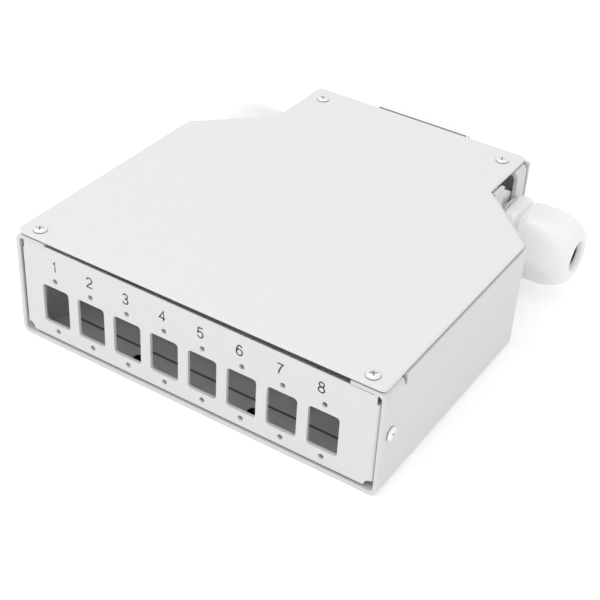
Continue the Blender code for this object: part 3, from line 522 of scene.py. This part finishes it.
def tray_shape(x, y, z):
    """Thinner sheet, tabs that reach the front, the 45 degree walls further back and wider gland slots."""
    low, high = TRAY_BOX
    across = abs(x)
    from_gland = y - GLAND_MIDDLE.y
    if y < SHOULDER[0]:
        across, z = wall_thinned(across, z, high.x, high.z)
    elif near(z, SHEET):
        z -= SHEET_THINNER
    if y > REAR_FROM and near(across, REAR_HALF - SHEET):
        across += SHEET_THINNER
    if near(y, high.y - SHEET):
        y += SHEET_THINNER
    if SHOULDER[0] < y < SHOULDER[1]:
        y += SHOULDER_SHIFT
    in_slot = across > REAR_HALF - SLOT_WALL and z > GLAND_MIDDLE.z + SLOT_ABOVE
    if in_slot and near(abs(from_gland), SLOT_HALF):
        y += math.copysign(SLOT_WIDER, from_gland)
    in_tab = z > high.z - TAB_DEPTH and TAB_SPAN[0] < across < TAB_SPAN[1]
    if in_tab and near(y, low.y + TAB_REACH):
        y = low.y
    return math.copysign(across, x), y, z


def cover_shape(x, y, z):
    """The cover's narrow rear part, a little narrower and further back."""
    if abs(x) < COVER_CORNER or y < 0:
        return x, y, z
    outward, back = next((outward, back) for depth, outward, back in COVER_MOVES if y < depth)
    return x + math.copysign(1.0, x) * outward, y + back, z


def bend_moved(across, level, face, edge):
    """Tightens one bend of the panel and moves its far leg out, in the bend's cross-section."""
    old, new = PANEL_BEND
    if across < edge - old - 0.02:
        return across, level
    if level > face + old + 0.02:
        return across + PANEL_WIDER, level
    spread = (across - edge + old, level - face - old)
    reach = math.hypot(*spread)
    share = (reach - old + new) / reach
    return edge + PANEL_WIDER - new + spread[0] * share, face + new + spread[1] * share


def panel_shape(x, y, z):
    """Tighter bends, a lower, slightly sloping top edge and smaller fixing holes."""
    low, high = PANEL_BOX
    for level in PORT_HOLE_LEVELS:
        for port in range(8):
            middle = PORT_ROW_SHIFT + (port - 3.5) * PORT_PITCH
            if y < low.y + PANEL_FRONT and math.hypot(x - middle, z - level) < PORT_HOLE_REACH:
                return middle + (x - middle) * HOLE_SHARE, y, level + (z - level) * HOLE_SHARE
    if z > high.z - PANEL_MIDDLE:
        z -= PANEL_TOP_DROP + PANEL_TOP_SLOPE * x + (PANEL_TOP_CANT if y > low.y + PANEL_MIDDLE else 0.0)
    across, y = bend_moved(abs(x), y, low.y, high.x)
    down, y = bend_moved(-z, y, low.y, -low.z)
    return math.copysign(across, x), y, -down


def dimpled(mesh, places):
    """Sinks a small conical seat round each screw into the upper face of the cover."""
    top = max(corner.co.z for corner in mesh.vertices) / MM
    wide, narrow, depth = DIMPLE
    holder = bpy.data.objects.new("cover_blank", mesh)
    bpy.context.scene.collection.objects.link(holder)
    for number, place in enumerate(places):
        rows = []
        for radius, level in ((narrow, top - depth), (2 * wide - narrow, top + depth)):
            angles = [math.tau * n / DIMPLE_ROUND for n in range(DIMPLE_ROUND)]
            rows.append([((place.x + radius * math.cos(angle)) * MM, (place.y + radius * math.sin(angle)) * MM,
                          level * MM) for angle in angles])
        cutter = bpy.data.objects.new("dimple_punch", grid_mesh("dimple", rows))
        bpy.context.scene.collection.objects.link(cutter)
        step = holder.modifiers.new(f"dimple_{number}", "BOOLEAN")
        step.operation = "DIFFERENCE"
        step.solver = "MANIFOLD"
        step.object = cutter
    made = applied(holder)
    for spare in [holder] + [step.object for step in holder.modifiers]:
        bpy.data.objects.remove(spare, do_unlink=True)
    made.materials.clear()
    for face in made.polygons:
        face.material_index = 0
    return made


def dress_sheet(node, finish, edge_finish, width, rule=None, dimples=()):
    """A folded or flat sheet with rounded edges."""
    mesh = whole_mesh(node, rule, dimples)
    mesh.materials.append(finish)
    mesh.materials.append(edge_finish)
    return add_piece(node + "_dressed", round_edges(mesh, width), finish, node)


def grid_mesh(name, rows, caps=True):
    """A surface through rows of points, each row a ring."""
    bm = bmesh.new()
    rings = [[bm.verts.new(point) for point in row] for row in rows]
    for lower, upper in zip(rings, rings[1:]):
        count = len(lower)
        for number in range(count):
            following = (number + 1) % count
            bm.faces.new((lower[number], lower[following], upper[following], upper[number]))
    if caps:
        bm.faces.new(rings[0][::-1])
        bm.faces.new(rings[-1])
    bmesh.ops.remove_doubles(bm, verts=bm.verts, dist=0.0005 * MM)
    bmesh.ops.recalc_face_normals(bm, faces=bm.faces)
    mesh = bpy.data.meshes.new(name)
    bm.to_mesh(mesh)
    bm.free()
    return mesh


def turned(name, profile, radius_at, segments):
    """Turns a closed profile of (radius, height, kind), where radius_at bends the circle by angle and kind."""
    rows = []
    for radius, height, kind in [*profile, profile[0]]:
        row = []
        for number in range(segments):
            angle = math.tau * number / segments
            reach = radius_at(radius, height, kind, angle)
            row.append((reach * math.cos(angle) * MM, reach * math.sin(angle) * MM, height * MM))
        rows.append(row)
    return grid_mesh(name, rows, caps=False)


def smooth(mesh, angle):
    mesh.shade_smooth()
    mesh.set_sharp_from_angle(angle=math.radians(angle))
    return mesh


def placed(mesh, origin, direction, roll):
    """Turns a mesh made along +Z to a direction and moves it, so that its object stays at the origin."""
    turn = Vector((0, 0, 1)).rotation_difference(Vector(direction)).to_matrix().to_4x4()
    mesh.transform(Matrix.Translation(Vector(origin)) @ turn @ Matrix.Rotation(roll, 4, "Z"))
    return mesh


# Machine screws

def head_profile(head, height):
    """Half section of a pan head, from the middle of its top to its seat."""
    rim = height * 0.3
    points = []
    for step in range(11):
        angle = math.pi / 2 * (1 - step / 10)
        bow = math.cos(angle) ** 0.72
        points.append((head * bow, rim + (height - rim) * math.sin(angle)))
    points.append((head, rim * 0.35))
    points.append((head - 0.1, 0.0))
    return points


def thread_height(angle, height, pitch, depth):
    """How far a thread of sharp ridges stands below its crest."""
    phase = (height / pitch - angle / math.tau) % 1.0
    return depth * abs(2 * phase - 1)


def cross_cutter(top, reach, arm, depth):
    """A cross-shaped tapered punch for the drive recess."""
    outline = []
    for quarter in range(4):
        turn = Matrix.Rotation(math.pi / 2 * quarter, 2)
        outline += [turn @ Vector(point) for point in
                    ((reach, -arm), (reach, arm), (arm * 1.35, arm * 1.35))]
    rows = []
    for height, share in ((top + 0.3, 1.12), (top - depth * 0.35, 0.8), (top - depth, 0.42)):
        rows.append([(point.x * share * MM, point.y * share * MM, height * MM) for point in outline])
    return grid_mesh("punch", rows)


def screw_mesh(length, sizes):
    """Pan head screw along +Z with its seat at zero, a cross recess and a cut thread."""
    shank, head, height, pitch, recess_reach, recess_arm, recess_depth = sizes
    rows = []
    segments = 48
    for radius, level in head_profile(head, height):
        rows.append([(radius * math.cos(math.tau * n / segments) * MM,
                      radius * math.sin(math.tau * n / segments) * MM, level * MM) for n in range(segments)])
    steps = int(length / pitch * 6)
    for step in range(steps + 1):
        level = -length * step / steps
        taper = max(0.0, -level - (length - 0.5))
        row = []
        for number in range(segments):
            angle = math.tau * number / segments
            dip = thread_height(angle, level, pitch, shank * 0.15) if level < -0.3 else 0.0
            reach = (shank - dip - taper * 0.5) * MM
            row.append((reach * math.cos(angle), reach * math.sin(angle), level * MM))
        rows.append(row)
    body = grid_mesh("screw", rows)
    holder = bpy.data.objects.new("screw_blank", body)
    punch = bpy.data.objects.new("screw_punch", cross_cutter(height, recess_reach, recess_arm, recess_depth))
    bpy.context.scene.collection.objects.link(holder)
    bpy.context.scene.collection.objects.link(punch)
    step = holder.modifiers.new("recess", "BOOLEAN")
    step.solver = "EXACT"
    step.object = punch
    made = applied(holder)
    bpy.data.objects.remove(holder, do_unlink=True)
    bpy.data.objects.remove(punch, do_unlink=True)
    return smooth(made, 35)


def add_screw(node, direction, seat, length, sizes, finish, slot, roll):
    """A detailed screw in the place of the CAD one, its seat at a distance from the origin along its axis."""
    low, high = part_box(node)
    along = Vector(direction)
    centre = (Vector(low) + Vector(high)) / 2
    mesh = screw_mesh(length, sizes)
    placed(mesh, centre + along * (seat * MM - centre.dot(along)), direction, math.radians(roll))
    return add_piece(node + "_detailed", mesh, finish, node)


# Numbers over the ports, drawn as single strokes in a unit box that is as high as a digit

def arc(centre, radius, start, end, steps=14):
    """Points along part of an ellipse, angles in degrees."""
    return [(centre[0] + radius[0] * math.cos(math.radians(start + (end - start) * n / steps)),
             centre[1] + radius[1] * math.sin(math.radians(start + (end - start) * n / steps)))
            for n in range(steps + 1)]


DIGITS = {
    1: [[(-0.13, 0.76), (-0.02, 0.82), (0.05, 0.98), (0.05, 0.0)]],
    2: [arc((0.0, 0.71), (0.255, 0.27), 172, -28) + [(0.13, 0.47), (-0.1, 0.27), (-0.22, 0.13), (-0.27, 0.02),
                                                     (0.27, 0.02)]],
    3: [arc((-0.01, 0.745), (0.235, 0.235), 160, -82) + [(-0.06, 0.515)],
        [(-0.06, 0.515), (0.0, 0.515)] + arc((0.0, 0.265), (0.27, 0.25), 88, -165)],
    4: [[(0.13, 0.0), (0.13, 0.98), (-0.28, 0.27), (0.28, 0.27)]],
    5: [[(0.23, 0.97), (-0.17, 0.97), (-0.235, 0.49)] + arc((0.0, 0.31), (0.265, 0.295), 140, -160)],
    6: [arc((0.02, 0.7), (0.235, 0.28), 28, 120, 8) + [(-0.19, 0.79), (-0.26, 0.62), (-0.275, 0.42)]
        + arc((0.0, 0.315), (0.27, 0.3), 180, 540, 28)],
    7: [[(-0.26, 0.96), (0.27, 0.96), (0.13, 0.73), (0.0, 0.45), (-0.08, 0.18), (-0.11, 0.0)]],
    8: [arc((0.0, 0.75), (0.215, 0.23), 90, 450, 26), arc((0.0, 0.26), (0.27, 0.262), 90, 450, 28)],
}


def stroke_ribbon(bm, points, width, level):
    """A flat ribbon along a line of points, with mitred corners."""
    flat = [Vector(point) for point in points]
    closed = (flat[0] - flat[-1]).length < 1e-6
    if closed:
        flat.pop()
    count = len(flat)
    pairs = []
    for number, point in enumerate(flat):
        before = flat[number - 1] if (number or closed) else None
        after = flat[(number + 1) % count] if (number < count - 1 or closed) else None
        into = (point - before).normalized() if before is not None else (after - point).normalized()
        onward = (after - point).normalized() if after is not None else into
        across_in = Vector((-into.y, into.x))
        across = (across_in + Vector((-onward.y, onward.x))).normalized()
        reach = width / max(0.45, across.dot(across_in))
        pairs.append((point + across * reach, point - across * reach))
    verts = [[bm.verts.new((side.x, level, side.y)) for side in pair] for pair in pairs]
    for number in range(count if closed else count - 1):
        here, there = verts[number], verts[(number + 1) % count]
        bm.faces.new((here[0], here[1], there[1], there[0]))


def add_numbers():
    """The printed numbers 1 to 8 on the face of the panel."""
    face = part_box("front_panel")[0].y / MM
    for digit, strokes in DIGITS.items():
        centre = NUMBER_MIDDLE + (digit - 4.5) * NUMBER_PITCH
        bm = bmesh.new()
        for stroke in strokes:
            line = [(centre + x * NUMBER_HEIGHT, NUMBER_LEVEL + (y - 0.5) * NUMBER_HEIGHT) for x, y in stroke]
            stroke_ribbon(bm, line, NUMBER_STROKE, face - 0.012)
        bmesh.ops.scale(bm, vec=(MM, MM, MM), verts=bm.verts)
        bmesh.ops.recalc_face_normals(bm, faces=bm.faces)
        made = bmesh.ops.extrude_face_region(bm, geom=bm.faces)
        moved = [item for item in made["geom"] if isinstance(item, bmesh.types.BMVert)]
        bmesh.ops.translate(bm, vec=(0, 0.01 * MM, 0), verts=moved)
        bmesh.ops.recalc_face_normals(bm, faces=bm.faces)
        mesh = bpy.data.meshes.new(f"number_{digit}")
        bm.to_mesh(mesh)
        bm.free()
        add_piece(f"number_{digit}", mesh, INK, body="box")


# Cable glands

def hexagon_limit(flats, angle):
    """Distance from the middle to the side of a hexagon with corners on the x axis."""
    part = (angle + math.pi / 6) % (math.pi / 3) - math.pi / 6
    return flats / 2 / math.cos(math.pi / 6 - abs(part))


def soft_min(first, second, width):
    """The lower of two values with a rounded change between them."""
    gap = max(width - abs(first - second), 0.0) / width
    return min(first, second) - gap * gap * width / 4


def gland_radius(flats):
    """Radius rule for gland pieces: a hexagon that softly cuts the round profile, or a thread."""
    def radius_at(radius, height, kind, angle):
        if kind == "hex":
            return soft_min(radius, hexagon_limit(flats, angle), 0.35)
        if kind == "thread":
            return radius - thread_height(angle, height, GLAND_PITCH, 0.62)
        return radius
    return radius_at


def levels(start, end, step):
    count = max(2, int(abs(end - start) / step))
    return [start + (end - start) * number / count for number in range(count + 1)]


def gland_body_mesh(name):
    """Body: inner thread, washer face, hexagon flange, neck, outer thread and claws' sleeve."""
    start, end = FLANGE_START, FLANGE_END
    profile = [(6.0, -9.5, ""), (8.4, -9.5, ""), (8.9, -9.2, "")]
    profile += [(9.3, level, "thread") for level in levels(-9.0, start - 0.4, 0.2)]
    profile += [(9.3, start, ""), (11.2, start, ""), (12.0, start + 0.15, "hex"), (12.45, start + 0.5, "hex"),
                (12.6, start + 1.0, "hex"), (12.62, start + 2.2, "hex"), (12.55, end - 0.8, "hex"),
                (12.2, end - 0.3, "hex"), (11.6, end - 0.05, "hex"), (10.9, end, "hex"),
                (10.5, end + 0.15, ""), (10.4, end + 0.4, ""), (10.4, end + 1.1, ""), (10.3, end + 1.2, ""),
                (8.6, end + 1.2, "")]
    profile += [(8.4, level, "thread") for level in levels(end + 1.3, 12.0, 0.2)]
    profile += [(8.0, 12.3, ""), (7.2, 17.6, ""), (6.9, 17.8, ""), (6.0, 17.8, "")]
    return smooth(turned(name, profile, gland_radius(GLAND_FLATS), GLAND_ROUND), 50)


def gland_nut_mesh(name):
    """Domed nut: a thin collar, a fine groove, hexagon flats that fade into the dome, and a rounded mouth."""
    start, end = NUT_START, NUT_END
    profile = [(8.7, start, ""), (11.3, start, ""), (11.8, start + 0.1, "hex"), (12.0, start + 0.3, "hex"),
               (12.0, start + 0.7, "hex"), (11.8, start + 0.82, "hex"), (11.3, start + 0.9, "hex"),
               (11.3, start + 1.15, "hex"), (11.85, start + 1.28, "hex"), (12.15, start + 1.6, "hex")]
    profile += [(NUT_CROWN, level, "hex") for level in levels(start + 2.1, start + NUT_STRAIGHT, 1.2)]
    dome = end - start - NUT_STRAIGHT
    for step in range(1, 27):
        angle = math.pi / 2 * step / 27
        profile.append((NUT_LIP + (NUT_CROWN - NUT_LIP) * math.cos(angle),
                        start + NUT_STRAIGHT + dome * math.sin(angle), "hex"))
    profile += [(NUT_LIP, end, ""), (5.9, end - 0.04, ""), (5.4, end - 0.22, ""), (4.95, end - 0.6, ""),
                (4.65, end - 1.1, ""), (4.5, end - 1.8, ""), (4.45, end - 3.0, ""), (4.7, end - 3.3, "")]
    profile += [(7.8, 18.1, ""), (9.0, 12.6, ""), (8.7, 12.4, "")]
    return smooth(turned(name, profile, gland_radius(GLAND_FLATS), GLAND_ROUND), 50)


def gland_locknut_mesh(name):
    top, low = LOCKNUT_START, LOCKNUT_END
    corner = LOCKNUT_FLATS / math.sqrt(3)
    profile = [(9.4, top, ""), (corner - 2.2, top, ""), (corner - 0.7, top - 0.25, "hex"),
               (corner - 0.2, top - 0.7, "hex"), (corner - 0.1, top - 2.5, "hex"),
               (corner - 0.2, low + 0.6, "hex"), (corner - 0.8, low + 0.1, "hex"), (corner - 2.4, low, ""),
               (9.4, low, "")]
    mesh = turned(name, profile, gland_radius(LOCKNUT_FLATS), GLAND_ROUND)
    mesh.transform(Matrix.Rotation(math.pi / 6, 4, "Z"))
    return smooth(mesh, 45)


def gland_seal_mesh(name):
    """Rubber bush with a neck towards the mouth and shallow grip rings in its bore."""
    profile = [(3.7, 23.7, ""), (4.0, 23.6, ""), (4.15, 23.3, ""), (4.2, 18.4, ""), (4.4, 18.0, ""),
               (5.1, 17.8, ""), (5.55, 17.6, ""), (5.7, 17.2, "")]
    profile += [(5.7, level, "") for level in levels(16.6, 7.4, 1.2)]
    profile += [(5.6, 6.9, ""), (5.3, 6.8, ""), (3.9, 6.8, "")]
    for level in levels(7.2, 23.2, 0.25):
        profile.append((3.5 + 0.16 * math.cos(level * math.tau / 1.6), level, ""))
    return smooth(turned(name, profile, gland_radius(GLAND_FLATS), 64), 60)


def gland_washer_mesh(name):
    profile = [(9.6, 0.3, ""), (10.9, 0.3, ""), (11.15, 0.45, ""), (11.2, 0.8, ""), (11.15, 1.15, ""),
               (10.9, 1.3, ""), (9.6, 1.3, "")]
    return smooth(turned(name, profile, gland_radius(GLAND_FLATS), 96), 60)


def add_gland(side_sign, side_name):
    washer_low, washer_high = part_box(f"gland_washer_{side_name}")
    wall = (washer_low.x if side_sign > 0 else washer_high.x) - side_sign * 0.3 * MM
    origin = Vector((wall, (washer_low.y + washer_high.y) / 2, (washer_low.z + washer_high.z) / 2))
    kinds = {"body": (gland_body_mesh, NYLON, "gland_nylon"), "nut": (gland_nut_mesh, NYLON, "gland_nylon"),
             "locknut": (gland_locknut_mesh, NYLON, "gland_nylon"), "seal": (gland_seal_mesh, RUBBER, "seals"),
             "washer": (gland_washer_mesh, PALE_RUBBER, "seals")}
    for kind, (build, finish, slot) in kinds.items():
        node = f"gland_{kind}_{side_name}"
        mesh = build(node + "_detailed")
        mesh.transform(Matrix.Rotation(math.pi / 2, 4, "Z"))
        turn = Matrix.Rotation(side_sign * math.pi / 2, 4, "Y")
        mesh.transform(Matrix.Translation(origin) @ turn)
        add_piece(node + "_detailed", mesh, finish, node)


# Floor, light and camera

def make_floor():
    """A white floor that keeps the object's shadow and is white for the camera and in reflections."""
    bm = bmesh.new()
    bmesh.ops.create_grid(bm, x_segments=8, y_segments=8, size=FLOOR_HALF)
    mesh = bpy.data.meshes.new("floor")
    bm.to_mesh(mesh)
    bm.free()
    floor = bpy.data.objects.new("floor", mesh)
    floor.location.z = FLOOR_LEVEL
    bpy.context.scene.collection.objects.link(floor)
    made = Finish("floor_paper")
    made.set(roughness=0.9, specular_ior_level=0.1)
    path = made.add("ShaderNodeLightPath")
    glow = made.add("ShaderNodeEmission")
    glow.inputs["Color"].default_value = (1.0, 1.0, 1.0, 1.0)
    seen = made.add("ShaderNodeMath", operation="MAXIMUM")
    made.link(path.outputs["Is Camera Ray"], seen.inputs[0])
    made.link(path.outputs["Is Glossy Ray"], seen.inputs[1])
    also = made.add("ShaderNodeMath", operation="MAXIMUM")
    made.link(seen.outputs["Value"], also.inputs[0])
    made.link(path.outputs["Is Transmission Ray"], also.inputs[1])
    made.link(made.span(also.outputs["Value"], 0.0, 1.0, FLOOR_BOUNCE, FLOOR_GLOW), glow.inputs["Strength"])
    made.colour(made.blend(also.outputs["Value"], (FLOOR_LIT,) * 3 + (1.0,), (FLOOR_SEEN,) * 3 + (1.0,)))
    both = made.add("ShaderNodeAddShader")
    made.link(made.shader.outputs["BSDF"], both.inputs[0])
    made.link(glow.outputs["Emission"], both.inputs[1])
    made.link(both.outputs["Shader"], made.tree.nodes["Material Output"].inputs["Surface"])
    mesh.materials.append(made.material)


def add_lamp(name, place, target, size, power, colour):
    data = bpy.data.lights.new(name, "AREA")
    data.shape = "RECTANGLE"
    data.size, data.size_y = size
    data.energy = power
    data.color = colour
    lamp = bpy.data.objects.new(name, data)
    lamp.location = place
    lamp.rotation_euler = (Vector(target) - Vector(place)).to_track_quat("-Z", "Y").to_euler()
    bpy.context.scene.collection.objects.link(lamp)


def make_world():
    """Even studio light, and white where the camera and reflections look past the floor."""
    world = bpy.data.worlds.new("studio")
    world.use_nodes = True
    bpy.context.scene.world = world
    tree = world.node_tree
    background = tree.nodes["Background"]
    background.inputs["Color"].default_value = (1.0, 1.0, 1.0, 1.0)
    path = tree.nodes.new("ShaderNodeLightPath")
    seen = path.outputs["Is Camera Ray"]
    for kind in ("Is Glossy Ray", "Is Transmission Ray"):
        either = tree.nodes.new("ShaderNodeMath")
        either.operation = "MAXIMUM"
        tree.links.new(seen, either.inputs[0])
        tree.links.new(path.outputs[kind], either.inputs[1])
        seen = either.outputs["Value"]
    strength = tree.nodes.new("ShaderNodeMapRange")
    strength.inputs["To Min"].default_value = SKY_LEVEL
    strength.inputs["To Max"].default_value = 1.0
    tree.links.new(seen, strength.inputs["Value"])
    tree.links.new(strength.outputs["Result"], background.inputs["Strength"])


def make_camera():
    data = bpy.data.cameras.new("camera")
    data.sensor_width = 36.0
    data.lens = CAMERA_LENS
    data.clip_start = 0.01
    camera = bpy.data.objects.new("camera", data)
    axes = Matrix((CAMERA_RIGHT, [-value for value in CAMERA_DOWN], [-value for value in CAMERA_FORWARD]))
    camera.matrix_world = Matrix.Translation(Vector(CAMERA_PLACE)) @ axes.transposed().to_4x4()
    bpy.context.scene.collection.objects.link(camera)
    bpy.context.scene.camera = camera


make_camera()
make_floor()
make_world()
add_lamp("key", **KEY_LAMP)
add_lamp("side", **SIDE_LAMP)

seats = [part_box(f"cover_screw_{end}_{side}") for end in ("front", "rear") for side in ("left", "right")]
dress_sheet("base_tray", TRAY_PAINT, TRAY_EDGE, TRAY_ROUNDING, rule=tray_shape)
dress_sheet("top_cover", COVER_PAINT, COVER_EDGE, TRAY_ROUNDING, rule=cover_shape,
            dimples=[(Vector(low) + Vector(high)) / 2 / MM for low, high in seats])
dress_sheet("front_panel", PANEL_PAINT, PANEL_EDGE, PANEL_ROUNDING, rule=panel_shape)
dress_sheet("clip_base", ZINC, ZINC_EDGE, ZINC_ROUNDING)
dress_sheet("clip_latch", ZINC, ZINC_EDGE, ZINC_ROUNDING)
dress_sheet("splice_holder", HOLDER_PLASTIC, HOLDER_PLASTIC, MOULD_ROUNDING)
for side in ("left", "right"):
    dress_sheet(f"clip_screw_nut_{side}", ZINC, ZINC_EDGE, SQUARE_NUT_ROUNDING)
NODES["clip_spring"].data.materials.clear()
NODES["clip_spring"].data.materials.append(SPRING_STEEL)

for side_sign, side in ((-1, "left"), (1, "right")):
    add_screw(f"cover_screw_front_{side}", (0, 0, 1), *COVER_SEAT, SHEET_SCREW, NICKEL, "screws", 31)
    add_screw(f"cover_screw_rear_{side}", (0, 0, 1), *COVER_SEAT, SHEET_SCREW, NICKEL, "screws", 12)
    add_screw(f"panel_side_screw_{side}", (side_sign, 0, 0), *SIDE_SEAT, SHEET_SCREW, NICKEL, "screws", 40)
    add_screw(f"panel_floor_screw_{side}", (0, 0, 1), *FLOOR_SEAT, FLOOR_SCREW, BLACK_STEEL, "dark_screws", 20)
    add_screw(f"clip_screw_{side}", (0, 1, 0), *CLIP_SEAT, CLIP_SCREW, NICKEL, "screws", 15)
    add_gland(side_sign, side)
add_numbers()

scene = bpy.context.scene
scene.view_settings.view_transform = "Standard"
